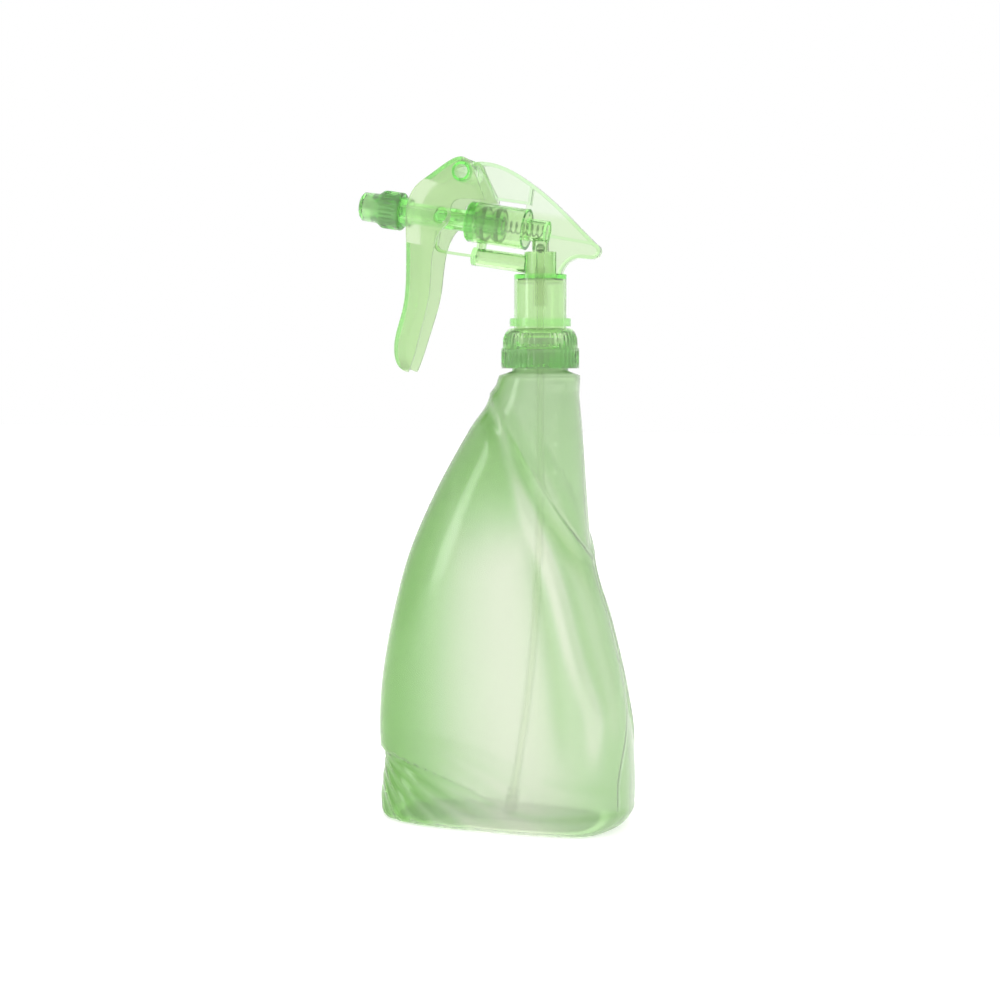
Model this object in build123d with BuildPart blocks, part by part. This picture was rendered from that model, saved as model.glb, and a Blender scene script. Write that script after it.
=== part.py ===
"""Hand mister: a trigger-worked plunger pump on a leaning blow-moulded bottle.

Units are mm and +Z is up. The origin lies on the base plane, under the axis of the bottle's neck.
The mister sprays towards -X, the hand goes round the neck from +X, and Y = 0 cuts it in half.
The pump lies along its own axis, nose up. Its profiles are drawn in the plane `head`, where the
first coordinate runs back along that axis and the second one stands square to it, upwards.
"""
import os
from math import atan2, cos, radians, sin, sqrt, tan

from build123d import *

os.makedirs("parts", exist_ok=True)

# Bottle
bottle_wall = 1.2
bottle_floor = 1.6
base_edge = 5.0  # radius round the foot
belly_half_depth = 29.5
neck_r = 12.6
neck_bore_r = 10.8
shoulder_z = 205.5
shoulder_r = 17.0
shoulder_plate = 2.0
neck_height = 13.5
# each section of the body: height, front (-X) end, back (+X) end, half depth, corner share
bottle_sections = [
    (base_edge + 1.0, -75.0, 44.4, belly_half_depth, 0.66),
    (25.0, -74.8, 44.6, belly_half_depth, 0.66),
    (47.0, -75.6, 43.0, belly_half_depth, 0.68),
    (68.0, -73.9, 39.5, belly_half_depth, 0.70),
    (96.0, -68.6, 32.6, belly_half_depth - 0.3, 0.74),
    (123.0, -61.0, 25.4, belly_half_depth - 0.7, 0.78),
    (150.0, -49.0, 22.7, belly_half_depth - 2.1, 0.84),
    (172.0, -37.0, 21.2, belly_half_depth - 4.9, 0.90),
    (194.0, -23.6, 19.2, belly_half_depth - 9.1, 0.95),
    (shoulder_z, -18.0, 18.0, 17.9, 0.97),
]

# Closure, gasket and neck
gasket_thickness = 1.2
closure_r = 17.5
closure_bore_r = 14.0
closure_bottom_z = shoulder_z + 1.8
closure_top_z = shoulder_z + neck_height + 6.0
closure_top_plate = 2.5
neck_bead_r = 13.5
neck_bead = 1.0  # height of a bead on the neck or a ridge in the closure
neck_bead_rises = (5.9, 9.5)  # above the shoulder
closure_ridge_r = 13.3
closure_ridge_rises = (3.9, 7.6)

# Stem of the head
stem_r = 11.75
stem_bore_r = 10.4
stem_top_z = 249.0
stem_ring_r = 13.75
stem_ring = 3.5
stem_top_wall = 2.0
stem_flange_r = 13.4
stem_flange = 2.0
sleeve_r = 7.2
sleeve_bore_r = 5.2
sleeve_top_z = 259.0
riser_r = 3.75
riser_s = 0.6  # where the riser's axis meets the elbow
inlet_r = 1.6

# Pump
pump_tilt = 9.0
pump_z = 268.2
barrel_r = 9.1
barrel_bore_r = 7.8
barrel_front = -32.3
barrel_back = -6.0
barrel_end_wall = 1.0
elbow_r = 5.0
elbow_bore_r = 3.3
elbow_back = 3.7
elbow_end_wall = 1.4
vent_drop = 15.2
vent_r = 4.1
vent_bore_r = 2.9
vent_front = -29.4
vent_end_wall = 2.0
vent_post_s = -26.3
vent_post_r = 2.2
vent_hole_r = 0.8

# Fin behind the pump
web_thickness = 1.2
rim_width = 4.0
rim_thickness = 1.6
rib_width = 3.4
rib_thickness = 1.3

# Trigger and its hinge
hinge_s = -37.4
hinge_height = 20.9  # square to the pump axis
hub_r = 4.8
hub_half = 9.1
journal_r = 4.2
hub_bore_r = 3.15
trigger_half = 10.8  # half its width over the plunger
trigger_tip_half = 6.8
trigger_wall = 1.3
trigger_web = 1.6
trigger_web_drop = 0.9
mouth_bottom = -13.5  # of the gap in its front web, which the plunger goes through
mouth_top = 15.5
trigger_travel = 20.0
lug_r = 2.6
lug_lead = 6.9  # how far ahead of the hinge the lugs stand at rest
lug_half = trigger_half - 0.2
lug_gap = 0.25

# Plunger, its valve and the nozzle
plunger_r = 4.9
piston_rod_r = 4.35
plunger_bore_r = 2.2
plunger_back = -17.3
front_barrel_r = 6.5
front_barrel_front = -79.5
front_barrel_back = -62.0
nose_r = 5.2  # of the barrel's narrower front
nose_back = -75.0
valve_seat_s = -68.5
valve_hole_r = 1.3
valve_chamber_r = 3.0
spinner_length = 5.0
spinner_tip_r = 2.0
spinner_flutes = 3
seal_width = 1.4
seal_depth = 1.0
cup_thickness = 0.9
piston_cup_lead = 3.6  # ahead of the rod's back end
vent_cup_lead = 2.0  # behind the barrel cap
nozzle_front = -85.6
nozzle_back = -65.8
nozzle_front_r = 6.55
nozzle_back_r = 8.6
nozzle_front_wall = 1.9
orifice_r = 0.3
orifice_insert_r = 2.2

# Balls and springs
intake_ball_r = 2.2
discharge_ball_r = 2.0
return_wire = 0.8
return_spring_r = 2.5  # at the middle of the wire
return_turns = 7.5
discharge_wire = 0.3
discharge_spring_r = 1.4
discharge_turns = 3

# Intake
tube_r = 1.8
tube_bore_r = 1.2
tube_straight_z = 150.0
tube_end_x = -12.6
tube_end_z = 10.5
strainer_r = 2.95
strainer_length = 10.5
strainer_wall = 0.6
mesh_wall = 0.25

# Clearances
slide_gap = 0.05  # radial, on what slides or turns in a bore
free_gap = 0.3  # between pieces that pass each other

head = Plane(
    origin=(0, 0, pump_z),
    x_dir=(cos(radians(pump_tilt)), 0, -sin(radians(pump_tilt))),
    z_dir=(0, -1, 0),
)
pump_axis = Axis(head.origin, head.x_dir)
neck_top_z = shoulder_z + neck_height
flange_bottom_z = neck_top_z + gasket_thickness
lug_s = hinge_s - lug_lead
lug_angle = atan2(lug_lead, hinge_height)
stroke = lug_lead + hinge_height * tan(radians(trigger_travel) - lug_angle)


def across(s, n=0.0):
    """The plane square to the pump axis at s, n above it, facing back."""
    return Plane(origin=head.from_local_coords((s, n, 0)), x_dir=(0, 1, 0), z_dir=head.x_dir)


def level(s, n):
    """The height above the base of a point of the head plane."""
    return head.from_local_coords((s, n, 0)).Z


def save(builder, label):
    """Name a finished piece and write it."""
    builder.part.label = label
    export_step(builder.part, f"parts/{label}.step")


def save_turned(label, profile, on_pump=True):
    """A piece turned about the pump axis (distance along it, radius) or the neck (radius, height)."""
    with BuildPart() as turned:
        with BuildSketch(head if on_pump else Plane.XZ):
            with BuildLine():
                Polyline(*profile, close=True)
            make_face()
        revolve(axis=pump_axis if on_pump else Axis.Z)
    save(turned, label)


# Bottle: blow-moulded, its belly leaning forward of the neck, with the screw neck on top
with BuildPart() as bottle:
    for inset, mode in ((0.0, Mode.ADD), (bottle_wall, Mode.SUBTRACT)):
        foot_z, foot_front, foot_back, foot_half, foot_corner = bottle_sections[0]
        bottom_z = 0.0 if mode == Mode.ADD else bottle_floor
        with BuildSketch(Plane.XY.offset(bottom_z)):
            with Locations(((foot_front + foot_back) / 2, 0)):
                RectangleRounded(
                    foot_back - foot_front - 2 * inset,
                    2 * (foot_half - inset),
                    foot_corner * (foot_half - inset),
                )
        if mode == Mode.ADD:
            extrude(amount=foot_z - bottom_z)
            fillet(bottle.faces().sort_by(Axis.Z)[0].edges(), radius=base_edge)
        else:
            extrude(amount=foot_z - bottom_z, mode=mode)
        for z, front, back, half, corner in bottle_sections:
            with BuildSketch(Plane.XY.offset(z)):
                with Locations(((front + back) / 2, 0)):
                    shorter = min(half, (back - front) / 2) - inset
                    RectangleRounded(back - front - 2 * inset, 2 * (half - inset), corner * shorter)
        loft(mode=mode)
    with BuildSketch(Plane.XZ):
        with BuildLine():
            Polyline(
                (neck_bore_r, shoulder_z - shoulder_plate),
                (shoulder_r, shoulder_z - shoulder_plate),
                (shoulder_r, shoulder_z),
                (neck_r, shoulder_z + 0.6),
                (neck_r, neck_top_z),
                (neck_bore_r, neck_top_z),
                close=True,
            )
        make_face()
    revolve(axis=Axis.Z)
    for rise in neck_bead_rises:
        with BuildSketch(Plane.XY.offset(shoulder_z + rise)):
            Circle(neck_bead_r)
            Circle(neck_bore_r + 0.5, mode=Mode.SUBTRACT)
        extrude(amount=neck_bead)
save(bottle, "bottle")

# Gasket: a soft washer between the bottle's lip and the head's flange
save_turned(
    "gasket",
    [
        (neck_bore_r + 0.1, neck_top_z),
        (stem_flange_r - 0.1, neck_top_z),
        (stem_flange_r - 0.1, flange_bottom_z),
        (neck_bore_r + 0.1, flange_bottom_z),
    ],
    on_pump=False,
)

# Closure: the screw cap that clamps the head's flange on the neck
plate_bottom_z = closure_top_z - closure_top_plate
with BuildPart() as closure:
    with BuildSketch(Plane.XZ):
        with BuildLine():
            Polyline(
                (closure_bore_r, closure_bottom_z),
                (closure_r, closure_bottom_z),
                (closure_r, closure_top_z - 9.0),
                (closure_r - 0.6, closure_top_z - 8.4),
                (closure_r - 0.9, closure_top_z - 4.2),
                (closure_r - 2.0, closure_top_z - 1.4),
                (closure_r - 3.4, closure_top_z),
                (stem_r + free_gap, closure_top_z),
                (stem_r + free_gap, plate_bottom_z),
                (closure_bore_r, plate_bottom_z),
                close=True,
            )
        make_face()
    revolve(axis=Axis.Z)
    for rise in closure_ridge_rises:
        with BuildSketch(Plane.XY.offset(shoulder_z + rise)):
            Circle(closure_bore_r + 0.5)
            Circle(closure_ridge_r, mode=Mode.SUBTRACT)
        extrude(amount=neck_bead)
save(closure, "closure")

# Pump body: one moulding of stem, sleeve, riser, elbow, barrel, vent tube, fin, hub and guard
hub_at = (hinge_s, hinge_height)
spring_back = elbow_back - elbow_end_wall
rim_back = (26.2, -2.8)
rim_foot = (12.0, -17.4)
slit_front = barrel_back - 15.0
slit_back = barrel_back - 2.2
slit_top = barrel_r + 1.8
guard_turn_r = 3.5
guard_s = lug_s - 3.4
guard_n = -vent_drop
with BuildLine() as rim_line:
    Spline(
        (hinge_s + 1.8, hinge_height + 4.3),
        (-28.6, 26.2),
        (-10.4, 21.2),
        (6.7, 11.3),
        rim_back,
    )
    Spline(rim_back, (28.1, -5.0), (27.3, -7.2), (24.0, -8.2), (18.0, -8.9), (13.9, -12.2), rim_foot)
with BuildPart() as pump_body:
    # the fin's thin web, with a slit above the barrel
    with BuildSketch(head):
        with BuildLine():
            add(rim_line.line)
            Polyline(
                rim_foot,
                (3.0, -19.5),
                (1.5, -6.0),
                (barrel_back - 1.0, 3.0),
                (barrel_back - 1.0, barrel_r - 1.0),
                (barrel_front + 3.5, barrel_r - 1.0),
                (hinge_s + 3.0, hinge_height - 3.0),
                (hinge_s + 1.8, hinge_height + 4.3),
            )
        make_face()
        with Locations(((slit_front + slit_back) / 2, barrel_r)):
            Rectangle(slit_back - slit_front, 2 * (slit_top - barrel_r), mode=Mode.SUBTRACT)
    extrude(amount=web_thickness / 2, both=True)
    # the bead round the fin, and its stiffening ribs
    with BuildSketch(head):
        with BuildLine():
            add(rim_line.line)
        trace(line_width=rim_thickness)
    extrude(amount=rim_width / 2, both=True)
    rib_lines = [
        ((-32.6, 25.6), (-22.4, 11.4)),
        ((slit_back + 1.5, 19.0), (slit_back + 1.5, slit_top)),
        ((slit_front - 1.0, slit_top + 0.6), (slit_back + 2.0, slit_top + 0.6)),
        ((elbow_back - 1.0, -1.4), (24.4, -2.0)),
    ]
    for rib_start, rib_end in rib_lines:
        with BuildSketch(head):
            with BuildLine():
                Line(rib_start, rib_end)
            trace(line_width=rib_thickness)
        extrude(amount=rib_width / 2, both=True)
    # the hub that the trigger hangs on
    with BuildSketch(head):
        with Locations(hub_at):
            Circle(hub_r)
    extrude(amount=hub_half, both=True)
    with BuildSketch(head):
        with Locations(hub_at):
            Circle(journal_r)
    extrude(amount=trigger_half + 0.6, both=True)
    # barrel, elbow and vent tube along the pump axis
    with BuildSketch(across(barrel_front)):
        Circle(barrel_r)
    extrude(amount=barrel_back - barrel_front)
    with BuildSketch(across(barrel_back - 1.0)):
        Circle(elbow_r)
    extrude(amount=elbow_back - barrel_back + 1.0)
    with BuildSketch(across(vent_front, -vent_drop)):
        Circle(vent_r)
    extrude(amount=-vent_front - sleeve_bore_r + 1.9)
    with BuildSketch(Plane(head.from_local_coords((vent_post_s, -vent_drop, 0)), z_dir=head.y_dir)):
        Circle(vent_post_r)
    extrude(amount=vent_drop - barrel_bore_r - 0.4)
    # the guard: a bar from the vent tube, turned up in front of the barrel
    with BuildSketch(head):
        with BuildLine():
            FilletPolyline(
                (vent_front + 1.0, guard_n),
                (guard_s, guard_n),
                (guard_s, -plunger_r - 1.2),
                radius=guard_turn_r,
            )
        trace(line_width=rib_thickness)
    extrude(amount=rib_width / 2, both=True)
    # the upright pieces: stem with its ring and flange, sleeve and riser
    for bottom_z, top_z, radius in (
        (flange_bottom_z, stem_top_z, stem_r),
        (flange_bottom_z, flange_bottom_z + stem_flange, stem_flange_r),
        (closure_top_z + 1.0, closure_top_z + 1.0 + stem_ring, stem_ring_r),
        (stem_top_z - 1.0, sleeve_top_z, sleeve_r),
        (sleeve_top_z - 1.0, level(riser_s, -elbow_bore_r - 0.8), riser_r),
    ):
        with BuildSketch(Plane.XY.offset(bottom_z)):
            Circle(radius)
        extrude(amount=top_z - bottom_z)
    # bores
    with BuildSketch(across(barrel_front)):
        Circle(barrel_bore_r)
    extrude(amount=barrel_back - barrel_end_wall - barrel_front, mode=Mode.SUBTRACT)
    with BuildSketch(across(barrel_back - barrel_end_wall)):
        Circle(elbow_bore_r)
    extrude(amount=spring_back - barrel_back + barrel_end_wall, mode=Mode.SUBTRACT)
    with BuildSketch(across(vent_front + vent_end_wall, -vent_drop)):
        Circle(vent_bore_r)
    extrude(amount=-vent_front - vent_end_wall - sleeve_bore_r + 1.0, mode=Mode.SUBTRACT)
    with BuildSketch(Plane(head.from_local_coords((vent_post_s, -vent_drop, 0)), z_dir=head.y_dir)):
        Circle(vent_hole_r)
    extrude(amount=vent_drop - barrel_bore_r + 1.0, mode=Mode.SUBTRACT)
    chamber_top_z = level(riser_s, -elbow_bore_r - 0.4)
    for bottom_z, top_z, radius in (
        (flange_bottom_z, stem_top_z - stem_top_wall, stem_bore_r),
        (stem_top_z - stem_top_wall - 1.0, sleeve_top_z, sleeve_bore_r),
        (sleeve_top_z - 0.5, chamber_top_z, intake_ball_r + 0.55),
        (chamber_top_z - 0.5, pump_z, inlet_r),
    ):
        with BuildSketch(Plane.XY.offset(bottom_z)):
            Circle(radius)
        extrude(amount=top_z - bottom_z, mode=Mode.SUBTRACT)
    with BuildSketch(head):
        with Locations(hub_at):
            Circle(hub_bore_r)
    extrude(amount=trigger_half + 2.0, both=True, mode=Mode.SUBTRACT)
save(pump_body, "pump_body")

# Barrel cap: the collar pressed in the barrel's mouth, which guides the plunger
cap_flange = 1.2
cap_spigot = 2.6
save_turned(
    "barrel_cap",
    [
        (barrel_front - cap_flange, plunger_r + slide_gap),
        (barrel_front - cap_flange, barrel_r - 0.4),
        (barrel_front - 0.4, barrel_r),
        (barrel_front, barrel_r),
        (barrel_front, barrel_bore_r),
        (barrel_front + cap_spigot, barrel_bore_r),
        (barrel_front + cap_spigot, plunger_r + slide_gap),
    ],
)

# Intake holder: pressed in the sleeve, it holds the tube and is the seat of the intake ball
seat_r = 1.5
seat_z = sleeve_top_z - 0.1
holder_flange_z = stem_top_z - stem_top_wall
holder_flange = 1.8
holder_grip = 12.0  # how far down it holds the tube
holder_wall = 1.4
tube_top_z = sleeve_top_z - 7.0
with BuildPart() as intake_holder:
    with BuildSketch(Plane.XZ):
        with BuildLine():
            Polyline(
                (seat_r, seat_z),
                (sleeve_bore_r, seat_z),
                (sleeve_bore_r, holder_flange_z),
                (stem_bore_r - 0.2, holder_flange_z),
                (stem_bore_r - 0.2, holder_flange_z - holder_flange),
                (tube_r + holder_wall, holder_flange_z - holder_flange),
                (tube_r + holder_wall, holder_flange_z - holder_grip),
                (tube_r, holder_flange_z - holder_grip),
                (tube_r, tube_top_z),
                (seat_r, tube_top_z),
                close=True,
            )
        make_face()
    revolve(axis=Axis.Z)
    # the groove down which air from the vent tube reaches the bottle
    with BuildSketch(Plane.XY.offset(holder_flange_z - holder_flange)):
        with Locations((-sleeve_bore_r, 0)):
            Rectangle(2 * vent_hole_r, 2.4)
    extrude(amount=seat_z - holder_flange_z - 1.0 + holder_flange, mode=Mode.SUBTRACT)
save(intake_holder, "intake_holder")

# Dip tube: straight from the holder, then bowed forward by its natural set
with BuildPart() as dip_tube:
    with BuildLine(Plane.XZ) as tube_path:
        Line((0, tube_top_z), (0, tube_straight_z))
        TangentArc((0, tube_straight_z), (tube_end_x, tube_end_z), tangent=(0, -1))
    with BuildSketch(Plane(tube_path.line @ 0, z_dir=tube_path.line % 0)):
        Circle(tube_r)
        Circle(tube_bore_r, mode=Mode.SUBTRACT)
    sweep()
save(dip_tube, "dip_tube")

# Strainer: a slotted cage pushed on the tube's end, with a fine mesh sleeve inside it
tube_end = tube_path.line @ 1
tube_aim = tube_path.line % 1
strainer_grip = 3.0
strainer_window = 2.6
strainer_top = Plane(tube_end - tube_aim * strainer_grip, x_dir=(0, 1, 0), z_dir=tube_aim)
window_length = strainer_length - strainer_grip - 1.8
with BuildPart() as strainer_cage:
    with BuildSketch(strainer_top):
        Circle(strainer_r)
    extrude(amount=strainer_length)
    with BuildSketch(strainer_top):
        Circle(tube_r)
    extrude(amount=strainer_grip + 0.4, mode=Mode.SUBTRACT)
    with BuildSketch(strainer_top.offset(strainer_grip + 0.2)):
        Circle(strainer_r - strainer_wall)
    extrude(amount=strainer_length - strainer_grip - 0.8, mode=Mode.SUBTRACT)
    with BuildSketch(strainer_top.offset(strainer_grip + 0.7)):
        for turn in (0, 90):
            with Locations(Location((0, 0, 0), turn)):
                Rectangle(2 * strainer_r + 1.0, strainer_window)
        Circle(strainer_r - strainer_wall, mode=Mode.SUBTRACT)
    extrude(amount=window_length, mode=Mode.SUBTRACT)
save(strainer_cage, "strainer_cage")
with BuildPart() as strainer_mesh:
    with BuildSketch(strainer_top.offset(strainer_grip + 0.3)):
        Circle(strainer_r - strainer_wall)
        Circle(strainer_r - strainer_wall - mesh_wall, mode=Mode.SUBTRACT)
    extrude(amount=window_length + 0.8)
save(strainer_mesh, "strainer_mesh")

# Return spring: between the elbow's end wall and the plunger's end, pushing the plunger out
spring_length = spring_back - plunger_back
with BuildPart() as return_spring:
    with BuildLine():
        Helix(
            pitch=(spring_length - return_wire) / return_turns,
            height=spring_length - return_wire,
            radius=return_spring_r,
            center=tuple(head.from_local_coords((plunger_back + return_wire / 2, 0, 0))),
            direction=tuple(head.x_dir),
        )
    spring_line = return_spring.pending_edges_as_wire
    with BuildSketch(Plane(spring_line @ 0, z_dir=spring_line % 0)):
        Circle(return_wire / 2)
    sweep(is_frenet=True)
save(return_spring, "return_spring")

# Plunger: a hollow rod with the nozzle's barrel in front and a lug each side for the trigger
seal_back = valve_seat_s + 0.1
lug_root = plunger_bore_r + 1.2
with BuildPart() as plunger:
    with BuildSketch(head):
        with BuildLine():
            Polyline(
                (plunger_back, plunger_bore_r),
                (plunger_back, piston_rod_r),
                (barrel_front + cap_spigot + 0.4, piston_rod_r),
                (barrel_front + cap_spigot, plunger_r),
                (front_barrel_back, plunger_r),
                (front_barrel_back, front_barrel_r),
                (seal_back + 0.1, front_barrel_r),
                (seal_back + 0.1, front_barrel_r - seal_depth),
                (seal_back - seal_width - 0.1, front_barrel_r - seal_depth),
                (seal_back - seal_width - 0.1, front_barrel_r),
                (nose_back, front_barrel_r),
                (nose_back, nose_r),
                (front_barrel_front, nose_r),
                (front_barrel_front, valve_chamber_r),
                (valve_seat_s, valve_chamber_r),
                (valve_seat_s, valve_hole_r),
                (valve_seat_s + 1.6, valve_hole_r),
                (valve_seat_s + 2.4, plunger_bore_r),
                close=True,
            )
        make_face()
    revolve(axis=pump_axis)
    for side in (-1, 1):
        with BuildSketch(head.offset(side * lug_root)):
            with Locations((lug_s, 0)):
                Circle(lug_r)
        extrude(amount=side * (lug_half - lug_root))
save(plunger, "plunger")


def cup_profile(s):
    """A soft cup on the piston rod at s, with its lip pointing back."""
    bore_r = barrel_bore_r - slide_gap
    root_r = (piston_rod_r + bore_r) / 2 - 0.1
    return [
        (s, piston_rod_r),
        (s, root_r),
        (s + 1.2, root_r),
        (s + 3.0, bore_r - cup_thickness),
        (s + 3.4, bore_r),
        (s + 1.6, bore_r),
        (s - 0.6, bore_r - 1.0),
        (s - 0.6, piston_rod_r),
    ]


# Cups: the rear one seals the piston, the front one keeps the vent shut at rest
save_turned("piston_cup", cup_profile(plunger_back - piston_cup_lead))
save_turned("vent_cup", cup_profile(barrel_front + cap_spigot + vent_cup_lead))

# Seal: a ring in the front barrel's groove, on which the nozzle turns
save_turned(
    "nozzle_seal",
    [
        (seal_back, front_barrel_r - seal_depth),
        (seal_back, front_barrel_r),
        (seal_back - seal_width, front_barrel_r),
        (seal_back - seal_width, front_barrel_r - seal_depth),
    ],
)

# Spinner: the fluted core that sets the liquid turning before it leaves
spinner_back = front_barrel_front + spinner_length
spinner_tip = nozzle_front + nozzle_front_wall + 0.5
with BuildPart() as spinner:
    with BuildSketch(across(front_barrel_front)):
        Circle(valve_chamber_r)
        with PolarLocations(valve_chamber_r, spinner_flutes):
            Rectangle(1.2, 1.0, mode=Mode.SUBTRACT)
    extrude(amount=spinner_length)
    with BuildSketch(across(spinner_tip)):
        Circle(spinner_tip_r)
    extrude(amount=front_barrel_front - spinner_tip + 0.5)
save(spinner, "spinner")

# Discharge valve: a ball that the pressure lifts off its seat against a light spring
ball_stand = 0.12
discharge_ball_s = valve_seat_s - sqrt(discharge_ball_r**2 - valve_hole_r**2) - ball_stand
with BuildPart() as discharge_ball:
    with Locations(head.from_local_coords((discharge_ball_s, 0, 0))):
        Sphere(discharge_ball_r)
save(discharge_ball, "discharge_ball")
discharge_length = discharge_ball_s - discharge_ball_r - spinner_back
with BuildPart() as discharge_spring:
    with BuildLine():
        Helix(
            pitch=(discharge_length - discharge_wire) / discharge_turns,
            height=discharge_length - discharge_wire,
            radius=discharge_spring_r,
            center=tuple(head.from_local_coords((spinner_back + discharge_wire / 2, 0, 0))),
            direction=tuple(head.x_dir),
        )
    discharge_line = discharge_spring.pending_edges_as_wire
    with BuildSketch(Plane(discharge_line @ 0, z_dir=discharge_line % 0)):
        Circle(discharge_wire / 2)
    sweep(is_frenet=True)
save(discharge_spring, "discharge_spring")

# Intake valve: a loose ball on the holder's seat, in the riser
intake_ball_z = seat_z + sqrt(intake_ball_r**2 - seat_r**2) + ball_stand
with BuildPart() as intake_ball:
    with Locations((0, 0, intake_ball_z)):
        Sphere(intake_ball_r)
save(intake_ball, "intake_ball")

# Nozzle cap: turned on the front barrel to set the spray, with an insert that holds the orifice
nozzle_bore_r = front_barrel_r + slide_gap
save_turned(
    "nozzle_cap",
    [
        (nozzle_front, orifice_insert_r),
        (nozzle_front, nozzle_front_r - 0.9),
        (nozzle_front + 0.9, nozzle_front_r),
        (nozzle_front + 8.0, nozzle_front_r + 0.15),
        (nozzle_front + 10.2, nozzle_back_r - 0.25),
        (nozzle_front + 11.0, nozzle_back_r),
        (nozzle_back - 0.5, nozzle_back_r),
        (nozzle_back, nozzle_back_r - 0.5),
        (nozzle_back, nozzle_bore_r),
        (nose_back - free_gap, nozzle_bore_r),
        (nose_back - free_gap, nose_r + slide_gap),
        (front_barrel_front - free_gap, nose_r + slide_gap),
        (front_barrel_front - free_gap, spinner_tip_r + 2.0),
        (nozzle_front + nozzle_front_wall, spinner_tip_r + 2.0),
        (nozzle_front + nozzle_front_wall, orifice_insert_r),
    ],
)
save_turned(
    "nozzle_orifice",
    [
        (nozzle_front + 0.3, orifice_r),
        (nozzle_front + 0.3, orifice_insert_r),
        (nozzle_front + nozzle_front_wall, orifice_insert_r),
        (nozzle_front + nozzle_front_wall, orifice_r),
    ],
)

# Trigger: a channel open at the back, straddling plunger and barrel, hung on the hub by two ears
ear_top = (-33.8, 25.6)  # from here the ears' rear edge runs straight down to ear_back
ear_back = (-24.6, 9.9)


def trigger_side(shift_s=0.0, shift_n=0.0):
    """The corner and curve points of the trigger's side outline, moved by the given amounts."""
    front = [
        (-50.2, -71.4),
        (-55.6, -68.9),
        (-58.0, -63.5),
        (-56.5, -44.0),
        (-57.2, -24.0),
        (-59.3, -9.0),
        (-60.2, 6.0),
        (-57.6, 12.0),
        (-51.9, 17.6),
        (-44.5, 24.2),
        (-38.6, 27.3),
        ear_top,
    ]
    back = [
        (-36.0, 9.0),
        (-39.9, 5.0),
        (-39.8, -0.8),
        (-42.6, -5.6),
        (-45.2, -13.0),
        (-44.9, -35.0),
        (-47.0, -54.0),
        (-49.2, -67.6),
        (-50.2, -71.4),
    ]
    return tuple([(s + shift_s, n + shift_n) for s, n in edge] for edge in (front, back))


def trigger_front(inset=0.0):
    """The trigger seen from the front: straight past the plunger, then tapering to its tip."""
    outline = [
        (trigger_half - inset, 40.0),
        (trigger_half - inset, -8.0),
        (trigger_tip_half - inset, -66.0),
        (trigger_tip_half - inset, -90.0),
    ]
    return outline + [(-y, n) for y, n in reversed(outline)]


front_view = across(-80.0)
with BuildPart() as trigger_cavity:
    front_edge, back_edge = trigger_side(trigger_web, -trigger_web_drop)
    with BuildSketch(head):
        with BuildLine():
            Spline(*front_edge)
            Polyline(front_edge[-1], (-18.0, ear_back[1]), (-30.0, -80.0), front_edge[0])
        make_face()
    extrude(amount=trigger_half + 2.0, both=True)
    with BuildSketch(front_view):
        Polygon(*trigger_front(trigger_wall), align=None)
    extrude(amount=70.0, mode=Mode.INTERSECT)
with BuildPart() as trigger:
    front_edge, back_edge = trigger_side()
    with BuildSketch(head):
        with BuildLine():
            Spline(*front_edge)
            Polyline(ear_top, ear_back, back_edge[0])
            Spline(*back_edge)
        make_face()
    extrude(amount=trigger_half + 2.0, both=True)
    with BuildSketch(front_view):
        Polygon(*trigger_front(), align=None)
    extrude(amount=70.0, mode=Mode.INTERSECT)
    add(trigger_cavity.part, mode=Mode.SUBTRACT)
    # the mouth for the plunger, and the gap between the ears for the fin
    for low_s, high_s, low_n, high_n in (
        (-70.0, -50.0, mouth_bottom, mouth_top),
        (hinge_s - 0.8, ear_back[0] + 5.0, ear_back[1] - 6.0, 35.0),
    ):
        with BuildSketch(head):
            with Locations(((low_s + high_s) / 2, (low_n + high_n) / 2)):
                Rectangle(high_s - low_s, high_n - low_n)
        extrude(amount=trigger_half - trigger_wall, both=True, mode=Mode.SUBTRACT)
    # the ears' holes, and the slots that drive the plunger's lugs
    with BuildSketch(head):
        with Locations(hub_at):
            Circle(journal_r + slide_gap)
        lug_reach = hinge_height / cos(lug_angle)
        aim_s = -sin(lug_angle)
        aim_n = -cos(lug_angle)
        near_reach = hinge_height - 0.5
        far_reach = lug_reach + 0.5
        slot_mid = (
            hinge_s + aim_s * (near_reach + far_reach) / 2,
            hinge_height + aim_n * (near_reach + far_reach) / 2,
        )
        slot_end = (hinge_s + aim_s * far_reach, hinge_height + aim_n * far_reach)
        SlotCenterPoint(slot_mid, slot_end, 2 * (lug_r + lug_gap))
    extrude(amount=trigger_half + 3.0, both=True, mode=Mode.SUBTRACT)
save(trigger, "trigger")
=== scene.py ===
"""Hand mister: a trigger-worked plunger pump in clear green plastic, on a leaning blown bottle.

The script follows the mister as it is put together, from the bottle up to the trigger. Lengths are
in mm until a mesh is finished, and then in metres. The blown skin with its thread, the ribbed
closure and nozzle, and the springs are made here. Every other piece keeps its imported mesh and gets
its material.
"""
import math

import bmesh
import bpy
from mathutils import Matrix, Vector


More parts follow.
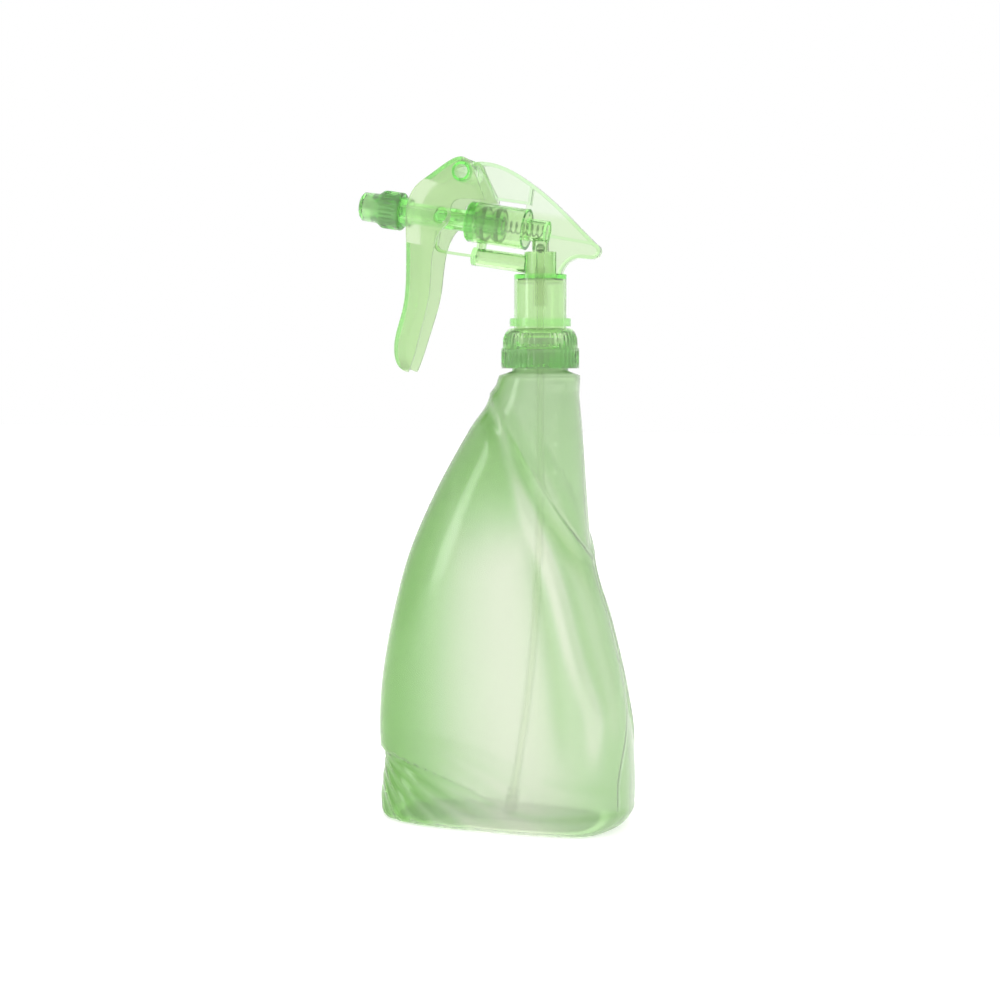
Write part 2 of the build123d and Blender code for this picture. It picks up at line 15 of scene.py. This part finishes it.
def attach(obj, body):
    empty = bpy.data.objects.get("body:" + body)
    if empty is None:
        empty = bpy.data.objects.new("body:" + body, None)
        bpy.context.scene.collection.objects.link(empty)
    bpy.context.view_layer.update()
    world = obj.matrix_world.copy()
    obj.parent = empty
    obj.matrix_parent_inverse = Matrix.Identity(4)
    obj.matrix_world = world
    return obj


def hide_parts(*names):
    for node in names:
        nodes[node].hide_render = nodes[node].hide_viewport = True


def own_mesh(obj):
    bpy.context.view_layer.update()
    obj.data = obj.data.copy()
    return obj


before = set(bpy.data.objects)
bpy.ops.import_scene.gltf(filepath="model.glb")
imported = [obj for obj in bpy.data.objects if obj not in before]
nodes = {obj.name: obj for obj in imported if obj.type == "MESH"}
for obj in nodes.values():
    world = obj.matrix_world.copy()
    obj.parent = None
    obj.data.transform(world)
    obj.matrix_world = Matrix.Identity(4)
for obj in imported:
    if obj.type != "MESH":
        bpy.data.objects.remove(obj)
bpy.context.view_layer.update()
scene = bpy.context.scene
MM = 0.001

# Stand and light. A white paper sweep lit evenly from all round, as a light tent gives it, with one
# soft lamp high on the left so that the folds of the bottle and the edges of the head show.
camera_data = bpy.data.cameras.new("camera")
camera_data.lens = 58.3
camera = bpy.data.objects.new("camera", camera_data)
camera.location = (0.1905, -0.7059, 0.2101)
camera.rotation_euler = (math.radians(90 - 4.87), 0, math.radians(16.52))
scene.collection.objects.link(camera)
scene.camera = camera
scene.view_settings.view_transform = "Standard"
scene.cycles.max_bounces = 16  # enough to see through the barrel, cups, rod and cap, one in another
scene.cycles.transmission_bounces = 16
scene.cycles.glossy_bounces = 8


def linear(code):
    """A sRGB hex colour as linear red, green, blue and an alpha of 1."""
    channels = [int(code[i : i + 2], 16) / 255 for i in (1, 3, 5)]
    return (*[c / 12.92 if c <= 0.04045 else ((c + 0.055) / 1.055) ** 2.4 for c in channels], 1)


def node(tree, kind, values=None, links=None, **settings):
    """A shader node with its settings, its socket values, and what is linked into it."""
    made = tree.nodes.new(kind)
    for name, value in settings.items():
        setattr(made, name, value)
    for socket, value in (values or {}).items():
        made.inputs[socket].default_value = value
    for socket, source in (links or {}).items():
        tree.links.new(source, made.inputs[socket])
    return made


def new_material(name):
    """An empty node material and its tree."""
    material = bpy.data.materials.new(name)
    material.use_nodes = True
    material.node_tree.nodes.clear()
    return material, material.node_tree


# Uncoated paper: matt, with a grain drawn 9 mm wide, and lit from behind so that it stays white.
paper, tree = new_material("white paper sweep")
grain = node(
    tree,
    "ShaderNodeTexNoise",
    {"Scale": 1 / (9 * MM)},
    {"Vector": node(tree, "ShaderNodeTexCoord").outputs["Object"]},
)
raised = node(tree, "ShaderNodeBump", {"Strength": 0.02}, {"Height": grain.outputs[0]})
shade = node(
    tree,
    "ShaderNodeBsdfPrincipled",
    {
        "Base Color": linear("#f6f6f4"),
        "Roughness": 0.9,
        "Emission Color": linear("#ffffff"),
        "Emission Strength": 0.55,
    },
    {"Normal": raised.outputs[0]},
)
node(tree, "ShaderNodeOutputMaterial", links={"Surface": shade.outputs[0]})
bpy.ops.mesh.primitive_plane_add(size=8.0, location=(0, 0, 0))
floor = bpy.context.object
floor.name = "floor"
floor.data.materials.append(paper)

tent = bpy.data.worlds.new("tent")  # a little dimmer on the camera's side than behind
tent.use_nodes = True
tree = tent.node_tree
aim = node(tree, "ShaderNodeTexCoord")
ahead = node(tree, "ShaderNodeSeparateXYZ", links={"Vector": aim.outputs["Generated"]})
level = node(
    tree,
    "ShaderNodeMapRange",
    {"From Min": -0.2, "From Max": 0.6, "To Min": 0.72, "To Max": 1.0},
    {"Value": ahead.outputs["Y"]},
)
tree.links.new(level.outputs[0], tree.nodes["Background"].inputs["Strength"])
tree.nodes["Background"].inputs["Color"].default_value = linear("#ffffff")
scene.world = tent

strip = bpy.data.lights.new("strip box", "AREA")
strip.shape = "RECTANGLE"
strip.size, strip.size_y = 0.3, 0.8
strip.energy = 2.2
lamp = bpy.data.objects.new("strip box", strip)
lamp.location = (-0.90, -0.80, 0.45)
mister_middle = Vector((0, 0, 0.12))
lamp.rotation_euler = (mister_middle - lamp.location).to_track_quat("-Z", "Y").to_euler()
scene.collection.objects.link(lamp)

# Bottle. Blown in a split mould from green-tinted natural polyethylene, about 1.2 mm thick. Its
# belly leans forward under a drape-like fold, its foot steps in with slanting grooves, and a screw
# thread stands on its neck.
BOTTLE_WALL = 1.2
BELLY_HALF = 29.5
SECTIONS = (  # height, front end, back end, half depth, squareness
    (0.0, -75.0, 44.4, BELLY_HALF, 2.9),
    (25.0, -74.8, 44.6, BELLY_HALF, 2.8),
    (47.0, -75.6, 43.0, BELLY_HALF, 2.6),
    (68.0, -73.9, 39.5, BELLY_HALF, 2.5),
    (96.0, -68.6, 32.6, 29.2, 2.4),
    (123.0, -61.0, 25.4, 28.8, 2.3),
    (150.0, -49.0, 22.7, 27.4, 2.2),
    (172.0, -37.0, 21.2, 24.6, 2.1),
    (194.0, -23.6, 19.2, 20.4, 2.05),
    (205.5, -17.9, 17.9, 17.9, 2.0),
)
# Lines on the belly: the crease and the step give a height for an x, the others an x for a height.
CREASE = ((-60, 206), (-24, 202), (-8, 180), (4, 162), (13, 147), (23, 130), (29, 116), (46, 92))
STEP = ((-78, 33), (-60, 30), (-37, 23.5), (-9, 12.5), (10, 9.5), (46, 11.5))
VALLEY = ((17.8, 30), (16.5, 51), (10.8, 95), (3.5, 138), (-14, 190), (-22, 206))
RIDGE = ((31, 37), (30, 54), (22, 80), (13, 112), (2, 142), (-5, 162), (-22, 203))
FOLD_DEPTH, HOLLOW_DEPTH, VALLEY_DEPTH, RIDGE_HEIGHT = 1.5, 1.9, 1.9, 1.6
STEP_DEPTH, GROOVE_DEPTH, PANEL_DEPTH = 1.9, 0.6, 0.9
GROOVES_FROM, GROOVE_EVERY = (-88, 41), 8.5  # the grooves fan out from this x and z, degrees apart
PANEL_HALF, PANEL_TOP = 15.5, 66
MARK_HEIGHTS, MARK_RISE = (116, 145, 196), 0.8  # short bars on the front edge
DOT_HEIGHTS, DOT_RISE, DOT_X = (150, 163, 175.5, 188, 200), 0.5, 12.5  # filling marks near the back
SHOULDER_Z, NECK_R, LIP_Z = 205.5, 12.6, 219.0
THREAD_START, THREAD_PITCH, THREAD_RISE = 209.6, 3.2, 0.95
FOOT_EDGE, FOOT_EDGE_BACK, PUSHED_UP = 4.0, 12.0, 2.2
AROUND = 240
FLOOR_RINGS, FOOT_RINGS, WALL_RINGS, NECK_RINGS = 10, 12, 146, 26
NECK_FIRST = FLOOR_RINGS + FOOT_RINGS + WALL_RINGS
RINGS = NECK_FIRST + NECK_RINGS


def smooth(value, low, high):
    """0 below low, 1 above high, and a ramp that eases in and out between them."""
    t = min(1.0, max(0.0, (value - low) / (high - low)))
    return t * t * (3 - 2 * t)


def bump(distance, width):
    """A rounded ridge of height 1 at distance 0."""
    return math.exp(-((distance / width) ** 2))


def along(line, at, column=1, key=0):
    """Reads a column of a table of points at a key, on a smooth curve through the points."""
    keys = [row[key] for row in line]
    if at <= keys[0]:
        return line[0][column]
    if at >= keys[-1]:
        return line[-1][column]
    i = max(k for k in range(len(line) - 1) if keys[k] <= at)

    def slope(k):
        low, high = max(0, k - 1), min(len(line) - 1, k + 1)
        return (line[high][column] - line[low][column]) / (keys[high] - keys[low])

    span = keys[i + 1] - keys[i]
    t = (at - keys[i]) / span
    return (
        (2 * t**3 - 3 * t**2 + 1) * line[i][column]
        + (t**3 - 2 * t**2 + t) * span * slope(i)
        + (3 * t**2 - 2 * t**3) * line[i + 1][column]
        + (t**3 - t**2) * span * slope(i + 1)
    )


def relief(x, y, z, u):
    """How far the skin stands out of the plain belly at a point, in mm, and its green from 0 to 1,
    mostly painted shade and painted highlight. u runs from -1 at the front end of the section to 1
    at its back end."""
    # The fold: the belly stands out below the crease, and the skin above it lies back.
    below = (along(CREASE, x) - z) * 0.65
    belly = smooth(below, -0.6, 1.2)
    lift = -FOLD_DEPTH * (1 - belly) * smooth(z, 100, 125) * smooth(205.5 - z, 0, 12)
    upper = smooth(z, 90, 130) * smooth(204 - z, 0, 25)
    hollow = belly * bump(below - 7.0, 4.5) * upper
    fade = smooth(z, 22, 60) * smooth(204 - z, 0, 25)
    ridge = fade * belly * bump(x - along(RIDGE, z, 0, 1), 3.4)
    valley = fade * belly * bump(x - along(VALLEY, z, 0, 1), 4.2)
    lift += RIDGE_HEIGHT * ridge - HOLLOW_DEPTH * hollow - VALLEY_DEPTH * valley
    # The foot: it steps in below a slanting line, and grooves fan out over its front.
    under = along(STEP, x) - z
    stepped = smooth(under, -0.2, 1.0)
    lift -= stepped * (STEP_DEPTH - 0.6 * smooth(x, -30, 20)) * smooth(z, 0, 24 + under)
    ray = math.degrees(math.atan2(GROOVES_FROM[1] - z, x - GROOVES_FROM[0]))
    grooves = stepped * smooth(8 - x, 0, 40) * smooth(ray, 14, 24)
    wave = 0.5 + 0.5 * math.cos(math.radians(ray * 360 / GROOVE_EVERY))
    lift -= GROOVE_DEPTH * grooves * wave
    # The back: a flat panel with a round top. The marks: bars in front, dots near the back.
    panel_edge = PANEL_HALF * smooth(PANEL_TOP - z, 0, 46) - abs(y)
    lift -= PANEL_DEPTH * smooth(panel_edge, -1.2, 1.2) * smooth(z, 8, 12) * smooth(x, 20, 30)
    for mark_z in MARK_HEIGHTS:
        lift += MARK_RISE * bump(z - mark_z, 1.2) * smooth(-u, 0.97, 1.0) * smooth(6 - abs(y), 0, 3)
    for dot_z in DOT_HEIGHTS:
        lift += DOT_RISE * bump(math.hypot(x - DOT_X, z - dot_z), 1.1) * (y < 0)
    # The green, mostly painted shade and painted highlight: painted shade darkens the front and back
    # ends of each section and the upper front of the belly, and the skin above the crease gets a
    # middle green.
    left = smooth(-0.12 - u, 0, 0.85)
    right = 0.42 * smooth(u, 0.2, 0.85)
    high = 0.72 * belly * smooth(z, 115, 165) * smooth(-u, -0.75, -0.1)
    neck = 0.36 * (1 - belly)
    # Painted shade in the hollow under the crease and in the valley, and a painted highlight along
    # the ridge.
    green_and_painted_light = max(left, right, high, neck) + 0.34 * hollow + 0.25 * valley - 0.9 * ridge
    # Painted highlight: an upright light streak low on the front of the belly.
    green_and_painted_light -= 0.5 * bump(x + 9, 3.0) * smooth(80 - z, 0, 40) * smooth(z, 6, 14)
    # Painted shade along the step line and in the grooves of the foot.
    green_and_painted_light += 0.25 * bump(under - 1.0, 1.6) + 0.3 * grooves * wave
    return lift, min(1.0, max(0.0, green_and_painted_light))


def bottle_point(turn, ring):
    """A point of the skin from its turn about the neck and its ring, and its green, which carries
    painted shade and painted highlight.
    """
    cosine, sine = math.cos(turn), math.sin(turn)
    if ring >= NECK_FIRST:
        neck_bottom = SHOULDER_Z + 0.6
        z = neck_bottom + (ring - NECK_FIRST) / (NECK_RINGS - 1) * (LIP_Z - neck_bottom)
        laps = [THREAD_START + THREAD_PITCH * (turn / math.tau + lap) for lap in (0, 1)]
        wound = max(bump(z - lap_z, 0.75) for lap_z in laps)
        radius = NECK_R + THREAD_RISE * wound * smooth(LIP_Z - z, 0.5, 1.5)
        return Vector((radius * cosine, radius * sine, z)), 0.45
    edge = FOOT_EDGE + (FOOT_EDGE_BACK - FOOT_EDGE) * smooth(cosine, 0.55, 1.0)
    if ring < FLOOR_RINGS:
        inward, z = edge, 0.0
    elif ring < FLOOR_RINGS + FOOT_RINGS:
        tilt = (ring - FLOOR_RINGS) / FOOT_RINGS * math.pi / 2
        inward, z = edge * (1 - math.sin(tilt)), edge * (1 - math.cos(tilt))
    else:
        climb = (ring - FLOOR_RINGS - FOOT_RINGS) / WALL_RINGS
        inward, z = 0.0, edge + climb * (SHOULDER_Z - edge)
    front, back, depth, square = (along(SECTIONS, z, column) for column in (1, 2, 3, 4))
    centre, length = (front + back) / 2, (back - front) / 2
    along_x = math.copysign(abs(cosine) ** (2 / square), cosine)
    along_y = math.copysign(abs(sine) ** (2 / square), sine)
    outward = Vector(
        (
            math.copysign(abs(along_x) ** (square - 1), cosine) / length,
            math.copysign(abs(along_y) ** (square - 1), sine) / depth,
            0,
        )
    ).normalized()
    x, y = centre + length * along_x, depth * along_y
    lift, green_and_painted_light = relief(x, y, z, along_x)
    point = Vector((x, y, z)) + outward * (lift - inward)
    if ring < FLOOR_RINGS:  # the floor closes to its middle, which is pushed up
        share = ring / FLOOR_RINGS
        x, y = centre + (point.x - centre) * share, point.y * share
        return Vector((x, y, PUSHED_UP * (1 - smooth(share, 0.55, 0.9)))), green_and_painted_light * share
    return point, green_and_painted_light


def piece(name, mesh_data, material, body):
    """A finished bmesh as an object at the origin, in metres, riding on a body."""
    mesh = bpy.data.meshes.new(name)
    bmesh.ops.scale(mesh_data, vec=(MM, MM, MM), verts=mesh_data.verts)
    mesh_data.to_mesh(mesh)
    mesh_data.free()
    mesh.shade_smooth()
    mesh.materials.append(material)
    made = bpy.data.objects.new(name, mesh)
    scene.collection.objects.link(made)
    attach(made, body)
    return made


skin = bmesh.new()
bmesh.ops.create_cone(skin, segments=AROUND, radius1=1, radius2=1, depth=RINGS - 1)
uprights = [e for e in skin.edges if abs(e.verts[0].co.z - e.verts[1].co.z) > 1]
bmesh.ops.subdivide_edges(skin, edges=uprights, cuts=RINGS - 2)
# The green layer holds each point's green with its painted shade and painted highlight.
green = skin.verts.layers.float.new("green")
for v in skin.verts:
    ring = round(v.co.z + (RINGS - 1) / 2)
    v.co, v[green] = bottle_point(math.atan2(v.co.y, v.co.x) % math.tau, ring)
bmesh.ops.remove_doubles(skin, verts=skin.verts, dist=0.001)
bmesh.ops.recalc_face_normals(skin, faces=skin.faces)

# Blown natural polyethylene: half clear and a little milky, with faint ripples about 3 mm wide from
# the mould. Its base colour runs from nearly white to leaf green along the green layer, which holds
# painted shade and painted highlight.
blown, tree = new_material("green-tinted blown polyethylene")
ripple = node(
    tree,
    "ShaderNodeTexNoise",
    {"Scale": 1 / (3 * MM), "Detail": 3.0},
    {"Vector": node(tree, "ShaderNodeTexCoord").outputs["Object"]},
)
rough = node(
    tree, "ShaderNodeMapRange", {"To Min": 0.12, "To Max": 0.18}, {"Value": ripple.outputs[0]}
)
raised = node(
    tree, "ShaderNodeBump", {"Strength": 0.05, "Distance": 0.5 * MM}, {"Height": ripple.outputs[0]}
)
# The base colour follows the painted shade and painted highlight in the green layer.
green_and_painted_light_attr = node(tree, "ShaderNodeAttribute", attribute_name="green")
tone = node(tree, "ShaderNodeValToRGB", links={"Fac": green_and_painted_light_attr.outputs["Fac"]})
tone.color_ramp.elements[0].color = linear("#fafcf3")
tone.color_ramp.elements[1].color = linear("#b4de98")
tone.color_ramp.elements.new(0.4).color = linear("#dff2d4")
shade = node(
    tree,
    "ShaderNodeBsdfPrincipled",
    {"IOR": 1.5, "Transmission Weight": 0.8},
    {"Base Color": tone.outputs[0], "Roughness": rough.outputs[0], "Normal": raised.outputs[0]},
)
tint = node(tree, "ShaderNodeVolumeAbsorption", {"Color": linear("#84d900"), "Density": 60.0})
node(
    tree, "ShaderNodeOutputMaterial", links={"Surface": shade.outputs[0], "Volume": tint.outputs[0]}
)
bottle = piece("bottle_shell", skin, blown, "root")
wall = bottle.modifiers.new("wall", "SOLIDIFY")
wall.thickness = BOTTLE_WALL * MM
wall.offset = -1
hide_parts("bottle")


# Gasket. A punched ring of foamed polyethylene that the closure squeezes between the bottle's lip
# and the head. Foam is matt and lets little light through.
def plastic(name, colour, clarity, roughness, density=0.0, ior=1.49):
    """A plastic: surface colour, share of light let through, least roughness, which varies a
    little over patches 2 mm wide, and density of the green that shows where the wall is thick."""
    made, tree = new_material(name)
    haze = node(
        tree,
        "ShaderNodeTexNoise",
        {"Scale": 1 / (2 * MM), "Detail": 2.0},
        {"Vector": node(tree, "ShaderNodeTexCoord").outputs["Object"]},
    )
    rough = node(
        tree,
        "ShaderNodeMapRange",
        {"To Min": roughness, "To Max": roughness + 0.05},
        {"Value": haze.outputs[0]},
    )
    shade = node(
        tree,
        "ShaderNodeBsdfPrincipled",
        {"Base Color": linear(colour), "IOR": ior, "Transmission Weight": clarity},
        {"Roughness": rough.outputs[0]},
    )
    out = node(tree, "ShaderNodeOutputMaterial", links={"Surface": shade.outputs[0]})
    if density:
        tint = node(
            tree, "ShaderNodeVolumeAbsorption", {"Color": linear("#98ff5c"), "Density": density}
        )
        tree.links.new(tint.outputs[0], out.inputs["Volume"])
    return made


def dress(name, material):
    """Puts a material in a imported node's slot."""
    nodes[name].data.materials.clear()
    nodes[name].data.materials.append(material)


dress("gasket", plastic("foamed polyethylene", "#eef8dc", 0.3, 0.6))

# Closure. Moulded in polypropylene, with fine upright ribs on both of its tiers, which the fingers
# turn it by. The plastic is glossy and clear, and its green deepens at the edges.
CLOSURE_PROFILE = (  # radius, height
    (14.0, 207.3), (17.5, 207.3), (17.5, 216.0), (16.9, 216.6), (16.6, 220.8), (15.5, 223.6),
    (14.1, 225.0), (12.05, 225.0), (12.05, 222.5), (14.0, 222.5),
)
CLOSURE_RIBS = 44
CLOSURE_CUTS = ((208.4, 215.6, 17.2, 0.42), (217.2, 223.2, 15.4, 0.4))


def turned(profile, ribs, cuts, steps):
    """A closed profile of (radius, distance along Z) turned all round. Ribs are cut into it on the
    stretches of Z that `cuts` lists as (low, high, least radius, depth)."""
    made = bmesh.new()
    points = [made.verts.new((radius, 0, far)) for radius, far in profile]
    for pair in zip(points, points[1:] + points[:1]):
        made.edges.new(pair)
    for _, _, least, _ in cuts:
        flanks = [
            e
            for e in made.edges
            if min(v.co.x for v in e.verts) >= least
            and abs(e.verts[0].co.z - e.verts[1].co.z) > 2.0
        ]
        bmesh.ops.subdivide_edges(made, edges=flanks, cuts=11)
    bmesh.ops.spin(
        made,
        geom=made.verts[:] + made.edges[:],
        cent=(0, 0, 0),
        axis=(0, 0, 1),
        angle=math.tau,
        steps=steps,
        use_merge=True,
        use_duplicate=False,
    )
    bmesh.ops.remove_doubles(made, verts=made.verts, dist=0.0005)
    for v in made.verts:
        radius, turn = math.hypot(v.co.x, v.co.y), math.atan2(v.co.y, v.co.x)
        for low, high, least, depth in cuts:
            if radius >= least:
                there = smooth(v.co.z, low, low + 0.7) * smooth(high - v.co.z, 0, 0.7)
                furrow = 0.5 - 0.5 * math.cos(ribs * turn)
                v.co.xy *= 1 - depth * there * furrow / radius
    bmesh.ops.recalc_face_normals(made, faces=made.faces)
    return made


closure_pp = plastic("green polypropylene, closure", "#f2ffe0", 0.9, 0.08, 65.0)
dress("closure", closure_pp)
closure_mesh = turned(CLOSURE_PROFILE, CLOSURE_RIBS, CLOSURE_CUTS, 7 * CLOSURE_RIBS)
closure = piece("closure_ribbed", closure_mesh, closure_pp, "closure")
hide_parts("closure")

# Pump body. One clear polypropylene moulding: the stem, riser, barrel and vent tube have thick
# walls and look deeper in colour, and the thin fin above the pump is nearly white.
PUMP_TILT = math.radians(9)
PUMP_Z = 268.2
PUMP = Matrix.Rotation(PUMP_TILT, 4, "Y")  # from the level to the pump's own axis
PUMP.translation = Vector((0, 0, PUMP_Z))
TUBES_TOP, FIN_FOOT = 6.0, 9.0  # above the pump's axis: deep below the first, clear past the second

clear_pp = plastic("clear green polypropylene", "#fafff4", 0.94, 0.06, 100.0)
tree = clear_pp.node_tree
where = node(tree, "ShaderNodeTexCoord")
square_to_pump = (math.sin(PUMP_TILT), 0, math.cos(PUMP_TILT))
rise = node(
    tree,
    "ShaderNodeVectorMath",
    {1: square_to_pump},
    {0: where.outputs["Object"]},
    operation="DOT_PRODUCT",
)
axis_rise = PUMP_Z * math.cos(PUMP_TILT)
level = node(
    tree,
    "ShaderNodeMapRange",
    {"From Min": (axis_rise + TUBES_TOP) * MM, "From Max": (axis_rise + FIN_FOOT) * MM},
    {"Value": rise.outputs["Value"]},
)
tone = node(tree, "ShaderNodeValToRGB", links={"Fac": level.outputs[0]})
tone.color_ramp.elements[0].color = linear("#ecf9de")
tone.color_ramp.elements[1].color = linear("#fafff4")
tree.links.new(tone.outputs[0], tree.nodes["Principled BSDF"].inputs["Base Color"])
dress("pump_body", clear_pp)

# Barrel cap. The collar pressed into the barrel's mouth, which guides the piston rod. Moulded in
# polypropylene, glossy, and a deeper green than the barrel round it.
dress("barrel_cap", plastic("green polypropylene, collar", "#d8ffc4", 0.85, 0.1, 110.0))


# Intake. A nearly clear natural polypropylene holder, pressed up the stem, grips the dip tube and
# is the seat of the intake ball, which is ground bright from stainless steel.
def metal(name, colour, roughness):
    """A bare metal whose polish varies a little, in marks drawn 0.5 mm wide so that they show."""
    made, tree = new_material(name)
    haze = node(
        tree,
        "ShaderNodeTexNoise",
        {"Scale": 1 / (0.5 * MM)},
        {"Vector": node(tree, "ShaderNodeTexCoord").outputs["Object"]},
    )
    rough = node(
        tree,
        "ShaderNodeMapRange",
        {"To Min": roughness, "To Max": roughness + 0.08},
        {"Value": haze.outputs[0]},
    )
    shade = node(
        tree,
        "ShaderNodeBsdfPrincipled",
        {"Base Color": linear(colour), "Metallic": 1.0},
        {"Roughness": rough.outputs[0]},
    )
    node(tree, "ShaderNodeOutputMaterial", links={"Surface": shade.outputs[0]})
    return made


ground_steel = metal("ground stainless steel", "#d4d8d2", 0.08)
dress("intake_holder", plastic("natural polypropylene", "#fdfff6", 0.95, 0.1, ior=1.3))
dress("intake_ball", ground_steel)

# Dip tube and strainer. An extruded polyethylene tube, set to a slight bend, ends in a moulded cage
# over nylon mesh. All three are clear, and their low IOR keeps them faint, as they are when wet.
dress("dip_tube", plastic("natural polyethylene", "#fdfff9", 0.96, 0.1, ior=1.25))
dress("strainer_cage", plastic("white polypropylene", "#fdfffa", 0.96, 0.12, ior=1.2))
dress("strainer_mesh", plastic("nylon mesh", "#fbfdf8", 0.96, 0.2, ior=1.2))

# Plunger and cups. The hollow rod and its front barrel are one polypropylene moulding, clear and a
# little deeper in green than the body. The two soft polyethylene cups on the rod look satin.
soft_pe = plastic("soft natural polyethylene", "#e0ffd0", 0.88, 0.2)
dress("plunger", plastic("green polypropylene, plunger", "#e6ffda", 0.88, 0.1, 70.0))
dress("piston_cup", soft_pe)
dress("vent_cup", soft_pe)

# Springs. Stainless wire, drawn to a soft shine and wound as coils. The return spring fills the
# elbow behind the rod, and the light one behind the nozzle holds the discharge ball down.
RETURN_START, RETURN_LENGTH = -17.3, 19.6
DISCHARGE_START, DISCHARGE_LENGTH = -74.5, 2.36
LAY = PUMP @ Matrix.Rotation(math.radians(90), 4, "Y")  # lays Z along the pump's axis


def coil(start, length, radius, wire, turns):
    """A spring of round wire along the pump axis, starting at a distance along it."""
    made = bmesh.new()
    steps = int(turns * 28)
    upright = Matrix.Rotation(math.pi / 2, 4, "Y")
    across = Matrix.Translation((0, radius, start + wire / 2)) @ upright
    ring = bmesh.ops.create_circle(made, segments=8, radius=wire / 2, matrix=across)
    ring_edges = list({e for v in ring["verts"] for e in v.link_edges})
    bmesh.ops.spin(
        made,
        geom=ring["verts"] + ring_edges,
        cent=(0, 0, 0),
        axis=(0, 0, 1),
        dvec=(0, 0, (length - wire) / steps),
        angle=math.tau * turns,
        steps=steps,
        use_duplicate=False,
    )
    bmesh.ops.holes_fill(made, edges=made.edges[:])
    bmesh.ops.recalc_face_normals(made, faces=made.faces)
    bmesh.ops.transform(made, matrix=LAY, verts=made.verts)
    return made


drawn_wire = metal("drawn stainless wire", "#c9cfc6", 0.22)
dress("return_spring", drawn_wire)
return_mesh = coil(RETURN_START, RETURN_LENGTH, 2.5, 0.8, 7.5)
return_coil = piece("return_coil", return_mesh, drawn_wire, "root")
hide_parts("return_spring")
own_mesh(return_coil)
dress("discharge_spring", drawn_wire)
discharge_mesh = coil(DISCHARGE_START, DISCHARGE_LENGTH, 1.4, 0.3, 3)
discharge_coil = piece("discharge_coil", discharge_mesh, drawn_wire, "plunger")
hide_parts("discharge_spring")
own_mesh(discharge_coil)

# Discharge valve and spinner. A ground ball seats in the front barrel, the pale moulded core before
# it makes the liquid swirl, and a ring of silicone rubber, satin and soft, seals the nozzle.
dress("discharge_ball", ground_steel)
dress("spinner", plastic("white polypropylene core", "#e8ffdc", 0.75, 0.3))
dress("nozzle_seal", plastic("silicone rubber", "#d0ffbc", 0.7, 0.3))

# Nozzle. A stepped polypropylene cap with a ribbed grip behind and a plain round nose in front,
# into which the pale orifice insert is pressed. It turns on the front barrel. It is glossy, and its
# doubled walls make it the deepest green on the head.
NOZZLE_PROFILE = (  # radius, distance along the pump axis
    (2.2, -85.6), (5.65, -85.6), (6.55, -84.7), (6.7, -77.6), (8.35, -75.4), (8.6, -74.6),
    (8.6, -66.3), (8.1, -65.8), (6.55, -65.8), (6.55, -75.3), (5.25, -75.3), (5.25, -79.8),
    (4.0, -79.8), (4.0, -83.7), (2.2, -83.7),
)
NOZZLE_RIBS = 26
NOZZLE_CUTS = ((-74.8, -67.6, 8.3, 0.5),)
nozzle_pp = plastic("green polypropylene, nozzle", "#e2ffd2", 0.88, 0.1, 100.0)
dress("nozzle_cap", nozzle_pp)
dress("nozzle_orifice", plastic("white polypropylene insert", "#e8ffdc", 0.5, 0.3))
nozzle_mesh = turned(NOZZLE_PROFILE, NOZZLE_RIBS, NOZZLE_CUTS, 10 * NOZZLE_RIBS)
bmesh.ops.transform(nozzle_mesh, matrix=LAY, verts=nozzle_mesh.verts)
nozzle = piece("nozzle_ribbed", nozzle_mesh, nozzle_pp, "nozzle")
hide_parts("nozzle_cap")

# Trigger. A U-shaped channel moulded in polypropylene and snapped over the hub. It is milkier than
# the head, with a satin skin.
dress("trigger", plastic("green polypropylene, trigger", "#e8f8d6", 0.8, 0.16, 80.0))
